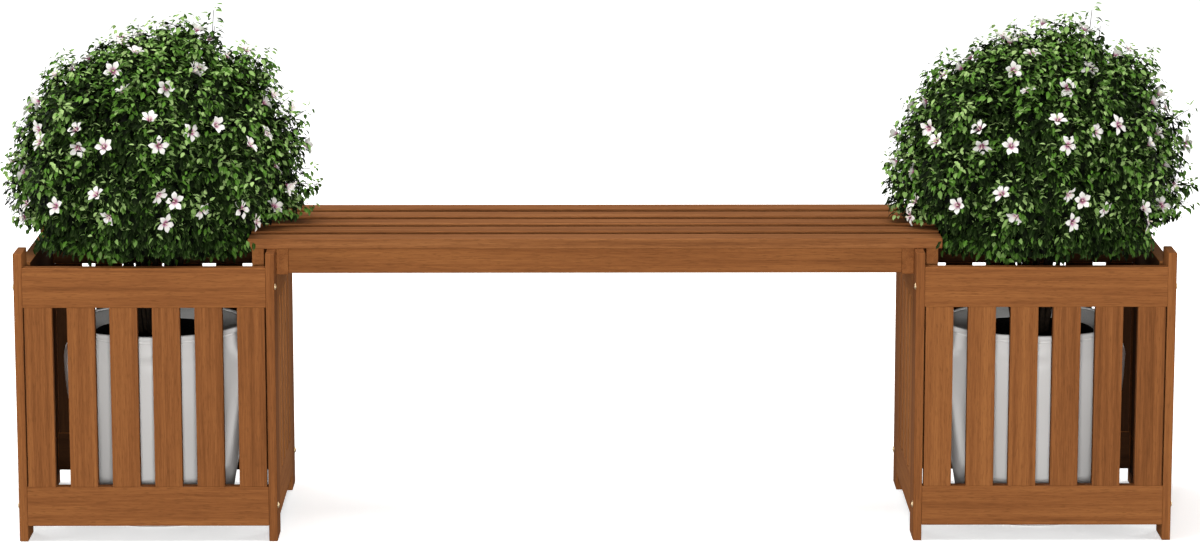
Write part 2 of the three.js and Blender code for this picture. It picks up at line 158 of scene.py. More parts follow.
def finish_piece(piece, material, body, slot, *nodes):
    """Gives a piece its material and body, and hides the CAD nodes that it stands for; its slot is not
    used.
    """
    piece.data.materials.append(material)
    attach(piece, body)
    if nodes:
        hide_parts(*nodes)
    return piece


# Boards

CORNER_STEPS = 3
END_STEPS = 3
LEAST_CORNER_SHARE = 0.15
FACE_REACH_SHARE = 0.1
GRAIN_SHIFT = 5
TONE_SPREAD = 0.5
GRAIN_ORDER = {"x": [1, 2, 0], "y": [2, 0, 1], "z": [0, 1, 2]}
QUARTERS = np.array([[1, 1], [-1, 1], [-1, -1], [1, -1]])


def board_surface(low, high, grain, ease):
    """Points, quads, end faces and grain places of one board with eased edges.

    A ring is a rectangle whose corners are quarter circles. Towards each end the rings draw in along
    another quarter circle, by ease x (1 - cos t) while they advance by ease x sin t.
    """
    low, high = np.array(low, float), np.array(high, float)
    order = GRAIN_ORDER[grain]
    half = (high - low)[order] / 2
    t = np.linspace(0, math.pi / 2, END_STEPS + 1)
    rise, inset = ease * np.sin(t), ease * (1 - np.cos(t))
    along = np.concatenate([-half[2] + ease - rise[::-1], half[2] - ease + rise])
    inset = np.concatenate([inset[::-1], inset])
    turn = np.linspace(0, math.pi / 2, CORNER_STEPS + 1)
    angle = (np.arange(len(QUARTERS))[:, None] * math.pi / 2 + turn).reshape(-1)
    radius = np.maximum(ease - inset, LEAST_CORNER_SHARE * ease)[:, None]
    flat = half[:2] - inset[:, None] - radius
    signs = np.repeat(QUARTERS, CORNER_STEPS + 1, axis=0)
    ring = flat[:, None, :] * signs + radius[:, None] * circle(angle)
    height = np.broadcast_to(along[:, None, None], (*ring.shape[:2], 1))
    local = np.concatenate([ring, height], -1).reshape(-1, 3)
    points = np.empty_like(local)
    points[:, order] = local
    points += (low + high) / 2
    grain_place = local[:, [2, 0, 1]] + random.uniform(-GRAIN_SHIFT, GRAIN_SHIFT, 3)
    return points, *tube_faces(len(along), len(angle)), grain_place


def inner_face(points, low, high, centre, ease):
    """1 at the points of a board's broad face that is turned towards the centre, and 0 elsewhere."""
    if centre is None:
        return np.zeros(len(points))
    thin = int(np.argmin(np.subtract(high, low)))
    plane = low[thin] if low[thin] > centre[thin] else high[thin]
    return (np.abs(points[:, thin] - plane) < FACE_REACH_SHARE * ease).astype(float)


def boards(name, pieces, ease=EASE, centre=None):
    """One mesh of several boards, each given as (low, high, grain) and, where it is paler, by how much,
    which on some boards is painted light.

    The broad faces turned towards the centre, where one is given, are marked as inner faces, which get
    painted shade.
    """
    points, quads, ends, places, tones, inner = [], [], [], [], [], []
    for low, high, grain, *paler in pieces:
        start = sum(map(len, points))
        p, q, e, g = board_surface(low, high, grain, ease)
        points.append(p)
        quads.append(q + start)
        ends.append(e + start)
        places.append(g)
        # each board's random tone, plus painted light where it is paler
        tones.append(np.full(len(p), random.uniform(-TONE_SPREAD, TONE_SPREAD) + sum(paler)))
        inner.append(inner_face(p, low, high, centre, ease))
    quads, ends = np.concatenate(quads), np.concatenate(ends)
    # Each ring's quads run round a corner in CORNER_STEPS smooth steps, and then along one flat face
    flat = np.arange(len(quads)) % (CORNER_STEPS + 1) == CORNER_STEPS
    smooth = np.concatenate([~flat, np.zeros(len(ends), bool)])
    attributes = {
        "grain_place": np.concatenate(places),
        "tone": np.concatenate(tones),
        "inner_face": np.concatenate(inner),
    }
    return make_mesh(name, np.concatenate(points), [quads, ends], smooth, attributes)


def spread(count, width, low, high):
    """Centres of count pieces of one width, evenly spaced between two limits."""
    return low + width / 2 + np.arange(count) * (high - low - width) / (count - 1)


def panel_boards(node, slat_count, slat_width, margin):
    """The rails and slats of a panel, from the CAD panel's box; its width runs along X or Y."""
    low, high = map(np.array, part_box(node))
    axis = 0 if high[0] - low[0] > high[1] - low[1] else 1
    pieces = []
    for z in (low[2], high[2] - RAIL_HEIGHT):
        a, b = low.copy(), high.copy()
        a[2], b[2] = z, z + RAIL_HEIGHT
        # top rails and side panels are made paler as painted light
        pieces.append((a, b, "xy"[axis], SIDE_PANEL_PAINTED_LIGHT * axis + TOP_RAIL_PAINTED_LIGHT * float(z > low[2])))
    paler = np.linspace(*FIRST_AND_LAST_SLAT_PALER, slat_count) + SIDE_PANEL_PAINTED_LIGHT * axis
    for i, centre in enumerate(spread(slat_count, slat_width, low[axis] + margin, high[axis] - margin)):
        a, b = low.copy(), high.copy()
        a[axis], b[axis] = centre - slat_width / 2, centre + slat_width / 2
        a[2], b[2] = low[2] + RAIL_HEIGHT, high[2] - RAIL_HEIGHT
        pieces.append((a, b, "z", paler[i]))
    return pieces


# Materials

class Nodes:
    """Short forms for building the node tree of a new material or world."""

    def __init__(self, name, store=bpy.data.materials):
        self.owner = store.new(name)
        self.owner.use_nodes = True
        self.tree = self.owner.node_tree

    def add(self, kind, inputs=None, **settings):
        node = self.tree.nodes.new(kind)
        for key, value in settings.items():
            setattr(node, key, value)
        for key, value in (inputs or {}).items():
            self.put(node.inputs[key], value)
        return node

    def put(self, socket, value):
        if isinstance(value, bpy.types.NodeSocket):
            self.tree.links.new(value, socket)
        else:
            socket.default_value = value

    def math(self, operation, *values):
        return self.add("ShaderNodeMath", dict(enumerate(values)), operation=operation).outputs[0]

    def line(self, start, value, slope):
        """start + value x slope"""
        return self.math("ADD", start, self.math("MULTIPLY", value, slope))

    def attribute(self, name, output="Fac"):
        return self.add("ShaderNodeAttribute", attribute_name=name).outputs[output]

    def leaf_place(self):
        """Shares along and across a leaf or petal."""
        split = self.add("ShaderNodeSeparateXYZ", {0: self.attribute("leaf_place", "Vector")})
        return split.outputs[0], split.outputs[1]

    def noise(self, scale, detail=2.0, roughness=0.5, distortion=0.0, place=None):
        """Noise of the place on the object; scale is cells a metre, one number or one for each axis."""
        if place is None:
            place = self.add("ShaderNodeTexCoord").outputs["Object"]
        if not isinstance(scale, tuple):
            scale = (scale, scale, scale)
        inputs = {
            "Vector": self.add("ShaderNodeMapping", {"Vector": place, "Scale": scale}).outputs[0],
            "Scale": 1.0,
            "Detail": detail,
            "Roughness": roughness,
            "Distortion": distortion,
        }
        return self.add("ShaderNodeTexNoise", inputs).outputs["Fac"]

    def bump(self, height, strength, distance):
        inputs = {"Height": height, "Strength": strength, "Distance": distance}
        return self.add("ShaderNodeBump", inputs).outputs[0]

    def ramp(self, value, *stops):
        node = self.add("ShaderNodeValToRGB", {"Fac": value})
        elements = node.color_ramp.elements
        for _ in stops[2:]:
            elements.new(0.5)
        for element, (place, colour) in zip(elements, stops):
            element.position = place
            element.color = colour
        return node.outputs[0]

    def mix(self, factor, a, b):
        node = self.add("ShaderNodeMix", data_type="RGBA")
        self.put(node.inputs[0], factor)
        self.put(node.inputs[6], a)
        self.put(node.inputs[7], b)
        return node.outputs[2]

    def set(self, **values):
        """Sets the shader's own sockets, named with underscores for spaces, and returns the material."""
        sockets = self.tree.nodes["Principled BSDF"].inputs
        for key, value in values.items():
            self.put(sockets[key.replace("_", " ")], value)
        return self.owner


BLACK, WHITE = (0, 0, 0, 1), (1, 1, 1, 1)

# Wood: cells a metre along, across and through each board, and how strongly each layer counts
FIGURE_CELLS = (2.2, 120, 120)
FIBRE_CELLS = (22, 620, 620)
PORE_CELLS = (75, 800, 800)
FIGURE_WEIGHT, FIBRE_WEIGHT, TONE_WEIGHT = 0.5, 0.5, 0.12
PORE_EDGES = (0.58, 0.7)
PORE_DARKNESS = 0.4
FIBRE_RELIEF, PORE_RELIEF = 0.5, -0.6
# Painted shade: how far the faces turned into the box go towards this dark brown, standing in for the
# shade inside it
PAINTED_SHADE_SHARE = 0.79
PAINTED_SHADE_WOOD = srgb(34, 20, 11)


def oiled_wood(name, dark, middle, light):
    """Straight-grained reddish hardwood: soft figure, fine fibre, short dark pores, and painted shade on
    the faces turned into the box.
    """
    n = Nodes(name)
    place = n.attribute("grain_place", "Vector")
    tone = n.attribute("tone")
    figure = n.noise(FIGURE_CELLS, 2.0, 0.5, 0.2, place)
    fibre = n.noise(FIBRE_CELLS, 3.0, 0.65, 0.0, place)
    pores = n.noise(PORE_CELLS, 1.0, 0.5, 0.0, place)
    level = n.line(n.math("MULTIPLY", figure, FIGURE_WEIGHT), fibre, FIBRE_WEIGHT)
    colour = n.ramp(n.line(level, tone, TONE_WEIGHT), (0.27, dark), (0.5, middle), (0.73, light))
    pore_mask = n.ramp(pores, (PORE_EDGES[0], BLACK), (PORE_EDGES[1], WHITE))
    colour = n.mix(n.math("MULTIPLY", pore_mask, PORE_DARKNESS), colour, dark)
    # painted shade on the faces turned into the box
    colour = n.mix(n.math("MULTIPLY", n.attribute("inner_face"), PAINTED_SHADE_SHARE), colour, PAINTED_SHADE_WOOD)
    height = n.line(n.math("MULTIPLY", fibre, FIBRE_RELIEF), pore_mask, PORE_RELIEF)
    return n.set(
        Base_Color=colour,
        Roughness=n.line(0.62, fibre, 0.2),
        Normal=n.bump(height, 0.25, 0.4 * MM),
        Specular_IOR_Level=0.1,
    )


def brass_material():
    """Brass with a brushed, slightly dulled face."""
    n = Nodes("screw_brass")
    cloud = n.noise(900, 3.0)
    colour = n.ramp(cloud, (0.35, srgb(232, 204, 158)), (0.65, srgb(250, 230, 192)))
    return n.set(Base_Color=colour, Metallic=1.0, Roughness=n.line(0.42, cloud, 0.2))


def pot_material():
    """Pale grey moulded stoneware finish with a faint mottle and fine grit."""
    n = Nodes("pot_finish")
    grit = n.noise(700)
    return n.set(
        Base_Color=n.ramp(n.noise(9, 3.0), (0.3, srgb(230, 228, 225)), (0.7, srgb(236, 234, 232))),
        Roughness=n.line(0.36, grit, 0.12),
        Normal=n.bump(grit, 0.12, 0.3 * MM),
        Specular_IOR_Level=0.4,
    )


def liner_material():
    """Grey matte plastic with a fine grit."""
    n = Nodes("liner_plastic")
    colour = n.ramp(n.noise(500), (0.3, srgb(210, 209, 206)), (0.7, srgb(224, 223, 220)))
    return n.set(Base_Color=colour, Roughness=0.6)


def soil_material():
    """Dark crumbly potting soil with paler flecks."""
    n = Nodes("potting_soil")
    crumbs = n.noise(260, 5.0, 0.7)
    colour = n.ramp(crumbs, (0.35, srgb(4, 3, 2)), (0.62, srgb(14, 10, 8)), (0.78, srgb(42, 32, 24)))
    return n.set(
        Base_Color=colour,
        Roughness=0.95,
        Normal=n.bump(crumbs, 0.8, 2 * MM),
        Specular_IOR_Level=0.08,
    )


RIB_NARROWNESS = 16.0
RIB_PALER = 0.3
TIP_PALER = 0.3
SUNLIT_PALER = 1.3


def leaf_material(name, shine, *stops):
    """Leaf whose tone is painted light, from shaded to sunlit through the stops; midrib and tip are
    paler, and more so on sunlit leaves.
    """
    n = Nodes(name)
    along, across = n.leaf_place()
    tone = n.attribute("tone")
    rib = n.math("MAXIMUM", n.line(1.0, n.math("ABSOLUTE", across), -RIB_NARROWNESS), 0.0)
    pale = n.line(n.math("MULTIPLY", rib, RIB_PALER), n.math("POWER", along, 3.0), TIP_PALER)
    share = n.math("MULTIPLY", pale, n.math("MULTIPLY", tone, SUNLIT_PALER))
    colour = n.mix(share, n.ramp(tone, *stops), stops[-1][1])
    return n.set(Base_Color=colour, Roughness=0.7, Specular_IOR_Level=shine)


VEIN_WAVES = 9.5
VEIN_REACH = 0.1


def petal_material():
    """White petal with a magenta foot that runs out along three veins."""
    n = Nodes("petal")
    along, across = n.leaf_place()
    waves = n.math("COSINE", n.math("MULTIPLY", across, VEIN_WAVES))
    stops = [
        (0.06, srgb(112, 20, 66)), (0.15, srgb(166, 66, 118)),
        (0.27, srgb(214, 184, 196)), (0.4, srgb(232, 230, 224)),
    ]
    return n.set(Base_Color=n.ramp(n.line(along, waves, -VEIN_REACH), *stops), Roughness=0.7)


def plain_growth(name, dark, light, scale):
    """Bark or stamen colour with a fine mottle."""
    n = Nodes(name)
    colour = n.ramp(n.noise(scale, 3.0), (0.35, dark), (0.65, light))
    return n.set(Base_Color=colour, Roughness=0.8, Specular_IOR_Level=0.1)


box_wood = oiled_wood("oiled_box_wood", srgb(97, 56, 25), srgb(132, 80, 41), srgb(155, 99, 53))
seat_wood = oiled_wood("oiled_seat_wood", srgb(96, 56, 27), srgb(132, 82, 44), srgb(158, 104, 60))
brass = brass_material()
pot_finish = pot_material()
liner_finish = liner_material()
soil_finish = soil_material()
leaf_green = leaf_material(
    "leaf_green", 0.04,
    (0.0, srgb(2, 4, 1)), (0.3, srgb(25, 47, 9)), (0.62, srgb(77, 123, 36)), (1.0, srgb(160, 188, 118)),
)
# painted shade: near-black greens for the leaves inside the crown
leaf_painted_shade = leaf_material(
    "leaf_shade", 0.0, (0.0, srgb(3, 5, 1)), (0.6, srgb(10, 18, 5)), (1.0, srgb(28, 48, 15))
)
petal = petal_material()
stamen = plain_growth("stamen", srgb(216, 204, 178), srgb(234, 228, 212), 900)
bark = plain_growth("bark", srgb(16, 11, 7), srgb(36, 27, 18), 200)


# Wooden pieces

def dress_boards():
    """Replaces every wooden CAD node by boards of its own size, with eased edges and their own grain."""
    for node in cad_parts:
        if "panel" in node:
            low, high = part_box(node)
            if "side" in node:
                width = (high[1] - low[1] - (SIDE_SLATS - 1) * SIDE_SLAT_GAP) / SIDE_SLATS
                pieces = panel_boards(node, SIDE_SLATS, width, 0)
            else:
                pieces = panel_boards(node, FACE_SLATS, SLAT_WIDTH, SLAT_TO_POST_GAP)
            middle = (math.copysign(BOX_CENTRE, low[0]), 0)
            piece = boards(node + "_boards", pieces, PANEL_EASE, middle)
            finish_piece(piece, box_wood, "bench", "panel_wood", node)
        elif "post" in node:
            piece = boards(node + "_board", [(*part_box(node), "z")])
            finish_piece(piece, box_wood, "bench", "post_wood", node)
        elif "seat_slat" in node:
            piece = boards(node + "_board", [(*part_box(node), "x")])
            finish_piece(piece, seat_wood, "bench", "seat_wood", node)
        elif "apron" in node or "rail" in node or "bearer" in node:
            grain = "x" if "apron" in node else "y"
            # the seat's frame is made paler as painted light, against the shade under the seat
            piece = boards(node + "_board", [(*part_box(node), grain, SEAT_FRAME_PAINTED_LIGHT)])
            finish_piece(piece, box_wood, "bench", "frame_wood", node)


# Turned pieces

TURNED_SIDES = 96


def turned(name, outline, centre, sides=TURNED_SIDES, axes=np.eye(3)):
    """A surface of revolution; outline is (radius, height) from axis to axis.

    The rows of axes are the directions of the surface's own X, Y and Z, which it is turned about.
    """
    outline = np.array(outline, float)
    inner = outline[1:-1]
    rings = inner[:, None, :1] * circle(ring_angles(sides))
    heights = np.broadcast_to(inner[:, None, 1:], (len(inner), sides, 1))
    body = np.concatenate([rings, heights], -1).reshape(-1, 3)
    poles = np.array([[0, 0, outline[0, 1]], [0, 0, outline[-1, 1]]])
    points = np.concatenate([body, poles]) @ axes + np.array(centre)
    faces = [grid_faces(len(inner), sides, True), pole_faces(len(inner), sides)]
    return make_mesh(name, points, faces, True)


def smooth_outline(points, count):
    """A Catmull-Rom curve through given points, at count even steps of its parameter."""
    p = np.array(points, float)
    p = np.concatenate([2 * p[:1] - p[1:2], p, 2 * p[-1:] - p[-2:-1]])
    t = np.linspace(0, len(points) - 1, count)
    i = np.minimum(t.astype(int), len(points) - 2)
    f = (t - i)[:, None]
    a, b, c, d = p[i], p[i + 1], p[i + 2], p[i + 3]
    curve = 2 * b + (c - a) * f + (2 * a - 5 * b + 4 * c - d) * f**2 + (3 * b - a - 3 * c + d) * f**3
    return 0.5 * curve


def arc(centre, radius, start, end, steps):
    """Points of a circular arc in the outline's plane; angles in degrees from outward."""
    return np.array(centre) + radius * circle(np.radians(np.linspace(start, end, steps)))


POT_RADIUS = 144 * MM
POT_HEIGHT = 301 * MM
POT_WALL = 6 * MM
POT_FLOOR = 8 * MM
FOOT_EASE = 2 * MM
LIP_RADIUS = 137.1 * MM
LIP_PROUD = 0.5 * MM
LIP_HEIGHT = 7.6 * MM
LIP_LOW_EASE = 1.2 * MM
LIP_TOP_EASE = 2.4 * MM
GROOVE_DEPTH = 4.6 * MM
GROOVE_HEIGHT = 3.4 * MM
MOUTH_RADIUS = LIP_RADIUS - POT_WALL
MOUTH_EASE = 1.5 * MM
LEDGE_WIDTH = 5 * MM
LEDGE_DEPTH = 5 * MM
LEDGE_RADIUS = MOUTH_RADIUS - LEDGE_WIDTH
LEDGE_Z = POT_HEIGHT - LEDGE_DEPTH
# Shares of the pot's radius and height: up its outside, and where its well ends under the collar
POT_OUTLINE = np.array([
    (0.735, 0.006), (0.778, 0.12), (0.815, 0.22), (0.874, 0.36), (0.953, 0.57), (0.988, 0.7), (1, 0.8),
    (0.997, 0.845), (0.981, 0.873), (0.96, 0.893), (0.947, 0.913), (0.941, 0.938), (0.939, 0.962),
])
POT_OUTLINE_POINTS = 66
WELL_TOP_SHARE = 0.84
COLLAR_SHARE = 0.895


def dress_pot(label, centre, body):
    """Pot with an eased foot, a full belly, a rounded shoulder, a short neck and a lip over a groove."""
    belly = smooth_outline(POT_OUTLINE * (POT_RADIUS, POT_HEIGHT), POT_OUTLINE_POINTS)
    lip_low = POT_HEIGHT - LIP_HEIGHT
    lip_face = LIP_RADIUS + LIP_PROUD
    groove = LIP_RADIUS - GROOVE_DEPTH
    well = belly[belly[:, 1] < WELL_TOP_SHARE * POT_HEIGHT][::-1] - (POT_WALL, 0)
    outline = np.concatenate([
        [(0, 0)],
        arc((belly[0, 0] - FOOT_EASE, FOOT_EASE), FOOT_EASE, -90, -10, 4),
        belly,
        [(groove, lip_low - GROOVE_HEIGHT), (groove, lip_low)],
        arc((lip_face - LIP_LOW_EASE, lip_low + LIP_LOW_EASE), LIP_LOW_EASE, -90, 0, 4),
        arc((lip_face - LIP_TOP_EASE, POT_HEIGHT - LIP_TOP_EASE), LIP_TOP_EASE, 0, 90, 5),
        arc((MOUTH_RADIUS + MOUTH_EASE, POT_HEIGHT - MOUTH_EASE), MOUTH_EASE, 90, 180, 4),
        [(MOUTH_RADIUS, LEDGE_Z), (LEDGE_RADIUS, LEDGE_Z), (LEDGE_RADIUS, COLLAR_SHARE * POT_HEIGHT)],
        well[well[:, 1] > POT_FLOOR + 1 * MM],
        [(well[-1, 0], POT_FLOOR), (0, POT_FLOOR)],
    ])
    piece = turned(f"{label}_pot_shell", outline, centre)
    return finish_piece(piece, pot_finish, body, "pot_grey", f"{label}_pot")


LINER_WALL = 2.5 * MM
LINER_CLEARANCE = 0.4 * MM
LINER_DEPTH = 190 * MM
LINER_TAPER = 20 * MM
FLANGE_WIDTH = 27.8 * MM
FLANGE_FALL = 9.5 * MM
LINER_MOUTH_RADIUS = LEDGE_RADIUS - FLANGE_WIDTH


def dress_liner(label, centre, body):
    """Liner: a flat flange in the pot's rim, then a collar that slopes down to its mouth."""
    brim = LEDGE_Z + LINER_WALL
    low = LEDGE_Z - FLANGE_FALL
    floor = low - LINER_DEPTH
    edge = MOUTH_RADIUS - LINER_CLEARANCE
    mouth = LINER_MOUTH_RADIUS
    foot = mouth - LINER_TAPER
    outline = [
        (0, floor), (foot, floor), (mouth, low - LINER_WALL),
        (LEDGE_RADIUS - 0.5 * MM, LEDGE_Z - LINER_WALL), (LEDGE_RADIUS - 0.3 * MM, LEDGE_Z),
        (edge, LEDGE_Z), (edge, brim - 0.3 * MM), (edge - 0.5 * MM, brim),
        (LEDGE_RADIUS, brim), (LEDGE_RADIUS - 0.8 * MM, brim - 0.4 * MM),
        (mouth - 1 * MM, low + 0.6 * MM), (mouth - 2.4 * MM, low - 0.6 * MM),
        (foot - LINER_WALL, floor + LINER_WALL), (0, floor + LINER_WALL),
    ]
    piece = turned(f"{label}_liner_shell", outline, centre)
    return finish_piece(piece, liner_finish, body, "liner_grey", f"{label}_liner")


SOIL_RADIUS = LINER_MOUTH_RADIUS - 3 * MM
SOIL_TOP = 285.7 * MM
SOIL_DEPTH = 40 * MM
SOIL_TAPER_SHARE = 0.985
SOIL_RINGS = 40
SOIL_SIDES = 120
CRUMB_HEIGHT = 1.6 * MM
RIPPLE_HEIGHT = 1.2 * MM


def dress_soil(label, centre, body):
    """Soil: a disc on a polar grid whose height is a sum of sine ripples and random crumbs."""
    share = np.linspace(0, 1, SOIL_RINGS + 1)[1:, None]
    angle = ring_angles(SOIL_SIDES)
    radius = SOIL_RADIUS * share * np.ones(SOIL_SIDES)
    crumbs = CRUMB_HEIGHT * random.normal(size=radius.shape).clip(-1.6, 0.3) * (1 - share**8)
    ripple = RIPPLE_HEIGHT * (np.sin(5 * angle + 9 * share) - 1) * (1 - share)
    disc = np.stack([radius * np.cos(angle), radius * np.sin(angle), SOIL_TOP + crumbs + ripple], -1)
    foot = disc[-1:] * (SOIL_TAPER_SHARE, SOIL_TAPER_SHARE, 1) - SOIL_DEPTH * UP
    poles = np.array([SOIL_TOP * UP, (SOIL_TOP - SOIL_DEPTH) * UP])
    points = np.concatenate([disc.reshape(-1, 3), foot.reshape(-1, 3), poles]) + np.array(centre)
    rows = SOIL_RINGS + 1
    grid = [grid_faces(rows, SOIL_SIDES, True), pole_faces(rows, SOIL_SIDES)]
    piece = make_mesh(f"{label}_soil_top", points, [faces[:, ::-1] for faces in grid], True)
    return finish_piece(piece, soil_finish, body, "soil", f"{label}_soil")


SCREW_HEAD_RADIUS = 5 * MM
SCREW_HEAD_HEIGHT = 2.4 * MM
SCREW_RIM_EASE = 0.2 * MM
SCREW_SHANK_RADIUS = 2.7 * MM
SCREW_POINT = 1 * MM
SOCKET_RADIUS = 1.5 * MM
SOCKET_FLOOR = 0.7 * MM
SCREW_SIDES = 24
DOME_ANGLES = np.radians([0, 15, 32, 50, 66])


def head_way(node):
    """+1 where a screw's head points to +X and -1 where it points to -X."""
    side = SIDES["left" if "left" in node else "right"]
    return side if "outer" in node else -side


def dress_screws():
    """Each screw: a low dome with a round socket, and its shank, turned about X."""
    dome = circle(DOME_ANGLES) * (SCREW_HEAD_RADIUS, SCREW_HEAD_HEIGHT)
    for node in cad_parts:
        if "screw" not in node:
            continue
        low, high = map(np.array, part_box(node))
        way = head_way(node)
        seat = (low + high) / 2
        seat[0] = (high[0] if way > 0 else low[0]) - way * SCREW_HEAD_HEIGHT
        end = SCREW_HEAD_HEIGHT - (high[0] - low[0])
        outline = [
            (0, end),
            (SCREW_SHANK_RADIUS, end + SCREW_POINT),
            (SCREW_SHANK_RADIUS, 0),
            (SCREW_HEAD_RADIUS - SCREW_RIM_EASE, 0),
            *dome,
            (SOCKET_RADIUS + 0.3 * MM, SCREW_HEAD_HEIGHT),
            (SOCKET_RADIUS, SCREW_HEAD_HEIGHT - 0.1 * MM),
            (SOCKET_RADIUS, SOCKET_FLOOR),
            (0, SOCKET_FLOOR),
        ]
        axes = np.array([(0, 0, -way), (0, 1, 0), (way, 0, 0)])
        piece = turned(node + "_turned", outline, seat, SCREW_SIDES, axes)
        finish_piece(piece, brass, "bench", "screw_brass", node)


# Shrub

CROWN_RADIUS = 227 * MM
CROWN_CENTRE = np.array((0, 0, 505.5)) * MM
# The crown's boughs: share of a turn from +X, share of the rise from level, reach in crown radii
BOUGHS = np.array([
    (0, 0.02, 1.05), (0, 0.3, 1.12), (0, 0.58, 1.17), (0.03, 0.86, 1.2),
    (0.5, 0.02, 1.05), (0.5, 0.28, 1.05), (0.5, 0.56, 1.09), (0.48, 0.86, 1.09),
    (0.25, 0.05, 1), (0.25, 0.36, 1.04), (0.27, 0.68, 1.1),
    (0.75, 0.05, 1), (0.75, 0.36, 1.04), (0.73, 0.68, 1.1),
    (0.125, 0.16, 1.03), (0.13, 0.5, 1.09), (0.375, 0.16, 1.01), (0.37, 0.5, 1.06),
    (0.625, 0.16, 1.02), (0.62, 0.5, 1.07), (0.875, 0.16, 1.04), (0.88, 0.5, 1.1),
])
BOUGH_RADIUS = 0.36 * CROWN_RADIUS
CORE_RADIUS = 0.88 * CROWN_RADIUS

# Places from the pot's centre: the crown's underside, the seat's end and the neck of leaves in the box
BRIM = 441.5 * MM
BRIM_BY_SEAT = 457 * MM
SEAT_END = 150 * MM
SEAT_HALF_DEPTH = 160 * MM
NECK_HALF_LENGTH = 168 * MM
NECK_HALF_DEPTH = 166 * MM
NECK_FOOT = 290 * MM
CROWN_HALF_DEPTH = 236 * MM

SPRAYS = 430
SPRIGS = 56
# Leaves on each spray, its length and its radius
FULL_SPRAY = (76, 70 * MM, 25 * MM)
THIN_SPRAY = (26, 60 * MM, 11 * MM)
FLOWER_SPRAY = (46, 48 * MM, 19 * MM)
MANTLE_LEAVES = 8500
INNER_LEAVES = 6500
SKIRT_LEAVES = 4600
SKIRT_HALF_WIDTH = 165 * MM
SKIRT_FOOT = 393 * MM
SKIRT_TOP = BRIM + 12 * MM
SKIRT_SLOPE = 0.187
SKIRT_WAVE = 12 * MM
LEAF_LENGTH = 11.8 * MM

STEMS = 15
STEM_FOOT = 283 * MM
STEM_BEND = 400 * MM
STEM_RADIUS = 5.5 * MM
TWIG_RADIUS = 1.6 * MM
TWIG_SAG = 14 * MM

FLOWER_RADIUS = 17 * MM
# Places of the flowers seen from the front, across and up from the pot's centre on the floor
FRONT_FLOWERS = np.array([
    (20, 668), (-47, 660), (-7, 613), (58, 595), (6, 573), (-79, 571), (-122, 598), (-181, 601),
    (-179, 578), (-199, 482), (-154, 477), (-91, 494), (-71, 462), (3, 496), (70, 472), (13, 450),
    (132, 472), (184, 476), (155, 452), (148, 573), (175, 591), (117, 718), (-127, 698), (-181, 645),
    (173, 641), (204, 511), (30, 484), (73, 698), (-64, 695), (-20, 752), (-52, 750), (-203, 530),
    (188, 540), (-120, 573), (96, 606), (-205, 460),
]) * MM
REAR_FLOWERS = 34
# Tips of the sprigs that stand out of the outline seen from the front
FRONT_SPRIGS = np.array([
    (91, 784), (98, 766), (24, 774), (42, 777), (-27, 763), (-88, 728), (-139, 706), (-150, 686),
    (-186, 653), (-208, 613), (-213, 589), (-231, 512), (-212, 468), (180, 722), (187, 695), (214, 653),
    (240, 636), (236, 604), (227, 578), (246, 534), (256, 511), (246, 490), (131, 730), (148, 727),
    (64, 770), (-60, 752),
]) * MM


def unit(v):
    """Vectors scaled to length 1."""
    return v / np.maximum(np.linalg.norm(v, axis=-1, keepdims=True), 1e-9)


def round_axis(axis, helper, angle):
    """Directions square to each axis, at angles round it from one that is square to the helper too."""
    side = unit(np.cross(axis, np.array(helper)))
    return np.cos(angle) * side + np.sin(angle) * np.cross(axis, side)


def scatter(like, scale):
    """Random vectors, one for each of the given ones, with a normal spread."""
    return random.normal(scale=scale, size=like.shape)


def aimed(turn, rise):
    """Directions at shares of a turn about Z and shares of the rise from level to upright."""
    rise = rise * math.pi / 2
    return np.column_stack([np.cos(rise)[:, None] * circle(turn * FULL_TURN), np.sin(rise)])


def crown_reach(direction):
    """Distance from the crown's centre to its skin: to the farthest bough's sphere, or to its core."""
    centres = aimed(BOUGHS[:, 0], BOUGHS[:, 1]) * (BOUGHS[:, 2:] * CROWN_RADIUS - BOUGH_RADIUS)
    along = direction @ centres.T
    inside = BOUGH_RADIUS**2 - (centres**2).sum(1) + along**2
    reach = np.where(inside > 0, along + np.sqrt(np.maximum(inside, 0)), 0)
    return np.maximum(reach.max(1), CORE_RADIUS)


def on_crown(out, share=1.0):
    """Places along unit directions, at a share of the way from the crown's centre to its skin."""
    return CROWN_CENTRE + out * (crown_reach(out) * share)[:, None]


def even_directions(count, lowest):
    """Directions of a golden-angle spiral from straight up down to a lowest height."""
    i = np.arange(count) + 0.5
    z = 1 - i / count * (1 - lowest)
    turn = i * math.pi * (3 - math.sqrt(5))
    return np.column_stack([np.sqrt(1 - z**2)[:, None] * circle(turn), z])


def own_cells(inner, count):
    """Bake map that gives each of count copies its own cell of a square; inner holds places in a cell."""
    cells = math.ceil(math.sqrt(count))
    cell = np.stack([np.arange(count) % cells, np.arange(count) // cells], -1)[:, None]
    return ((cell + inner) / cells).reshape(-1, 2)


# A leaf's eight points: shares of its length along it, across it and up from it
LEAF_ALONG = np.array([0, 0.3, 0.3, 0.3, 0.65, 0.65, 0.65, 1.0])
LEAF_ACROSS = np.array([0, -0.28, 0, 0.28, -0.23, 0, 0.23, 0])
LEAF_LIFT = np.array([0, 0.06, 0.0, 0.06, 0.0, -0.05, 0.0, -0.16])
LEAF_TRIANGLES = np.array([
    (0, 1, 2), (0, 2, 3), (1, 4, 5), (1, 5, 2), (2, 5, 6), (2, 6, 3), (4, 7, 5), (5, 7, 6),
])


